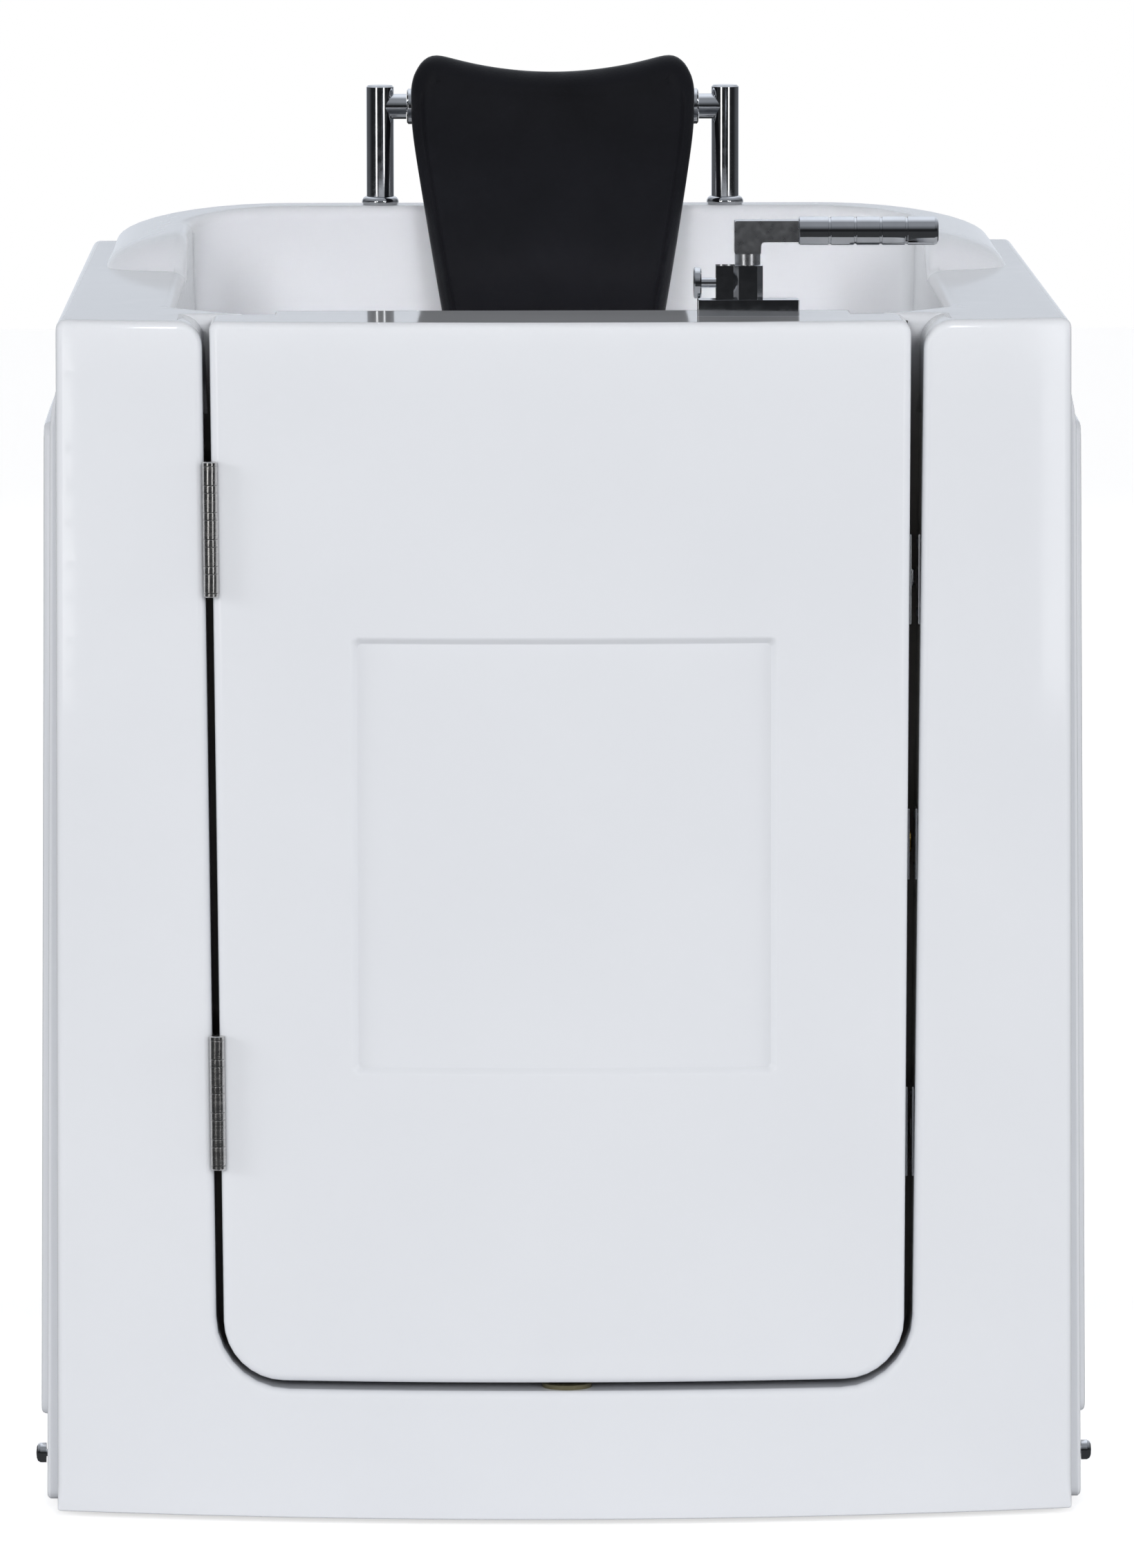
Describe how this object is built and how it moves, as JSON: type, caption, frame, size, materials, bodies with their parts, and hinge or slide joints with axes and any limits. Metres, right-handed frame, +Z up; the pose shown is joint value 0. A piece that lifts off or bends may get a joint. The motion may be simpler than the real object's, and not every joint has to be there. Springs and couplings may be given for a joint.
{
  "type": "walk-in bathtub",
  "caption": "Deep upright bathtub with a seat, a headrest and a hinged watertight door in its bowed front, closed by a lever handle.",
  "frame": {"origin": "centre of the box on the floor, under the levelling feet", "axes": "+X to the right seen from the door side, +Y from the door to the backrest, +Z up"},
  "size_m": [0.8554, 0.965, 1.1271],
  "materials": {
    "gelcoat_white": "high gloss",
    "chrome": "polished",
    "stainless": "brushed",
    "zinc_steel": "zinc plated",
    "frame_steel": "grey powder coat",
    "grey_plastic": "satin",
    "black_plastic": "satin",
    "seal_rubber": "matte",
    "olive_pad": "matte",
    "brass": "satin",
    "cushion_black": "fine grain"
  },
  "bodies": {
    "tub": {"deck_skirt": "gelcoat_white", "basin": "gelcoat_white", "side_panel_left": "gelcoat_white", "side_panel_right": "gelcoat_white", "panel_caps": "chrome", "frame_side_rails": "frame_steel", "frame_cross_rails": "frame_steel", "frame_posts": "frame_steel", "frame_seat_rails": "frame_steel", "levelling_feet": "black_plastic", "foot_locknuts": "zinc_steel", "door_gasket": "seal_rubber", "strike_upper": "chrome", "strike_lower": "chrome", "catch_strike": "chrome", "strike_screws": "zinc_steel", "hinge_jamb_leaves": "stainless", "hinge_pins": "stainless", "hinge_rings": "stainless", "hinge_jamb_screws": "zinc_steel", "drain_body": "chrome", "drain_tailpiece": "grey_plastic", "overflow_body": "grey_plastic", "overflow_cover": "chrome", "overflow_pipe": "grey_plastic", "threshold_pad": "olive_pad", "headrest_posts": "chrome", "headrest_collars": "chrome", "headrest_arms": "chrome", "post_nuts": "zinc_steel"},
    "door": {"door_shell": "gelcoat_white", "door_liner": "gelcoat_white", "hinge_door_leaves": "stainless", "hinge_door_screws": "zinc_steel", "bolt_plate_upper": "chrome", "bolt_plate_lower": "chrome", "catch_plate": "chrome", "bolt_plate_screws": "zinc_steel", "bolt_guides": "grey_plastic", "catch_body": "brass", "catch_tip": "black_plastic", "handle_base": "chrome", "handle_column": "chrome", "base_screws": "zinc_steel", "spindle_bush": "grey_plastic"},
    "handle": {"handle_elbow": "chrome", "handle_grip": "chrome", "latch_spindle": "stainless", "latch_cranks": "zinc_steel"},
    "lock_button": {"lock_button": "chrome"},
    "bolt_upper": {"bolt_upper": "stainless"},
    "bolt_lower": {"bolt_lower": "stainless"},
    "headrest": {"headrest_cushion": "cushion_black", "cushion_flanges": "chrome"},
    "drain_plug": {"drain_plug": "chrome"}
  },
  "joints": [
    {"name": "door_swing", "type": "hinge", "parent": "tub", "child": "door", "pos_m": [-0.281, -0.465, 0.8], "axis": [0.0079, 0, -1], "range_deg": [0, 110]},
    {"name": "handle_turn", "type": "hinge", "parent": "door", "child": "handle", "pos_m": [0.147, -0.4035, 1], "axis": [0, 0, -1], "range_deg": [0, 90]},
    {"name": "bolt_upper_slide", "type": "slide", "parent": "door", "child": "bolt_upper", "axis": [-1, 0, 0], "range_m": [0, 0.0171]},
    {"name": "bolt_lower_slide", "type": "slide", "parent": "door", "child": "bolt_lower", "axis": [-1, 0, 0], "range_m": [0, 0.0171]},
    {"name": "button_push", "type": "slide", "parent": "door", "child": "lock_button", "axis": [1, 0, 0], "range_m": [0, 0.007], "stiffness_N_per_m": 400},
    {"name": "headrest_tilt", "type": "hinge", "parent": "tub", "child": "headrest", "pos_m": [0, 0.45725, 1.0835], "axis": [-1, 0, 0], "range_deg": [0, 20]},
    {"name": "plug_lift", "type": "slide", "parent": "tub", "child": "drain_plug", "axis": [0, 0, 1], "range_m": [0, 0.01]}
  ],
  "couplings": [
    {"joint": "bolt_upper_slide", "follows": "handle_turn", "m_per_rad": 0.010804},
    {"joint": "bolt_lower_slide", "follows": "handle_turn", "m_per_rad": 0.010804}
  ]
}
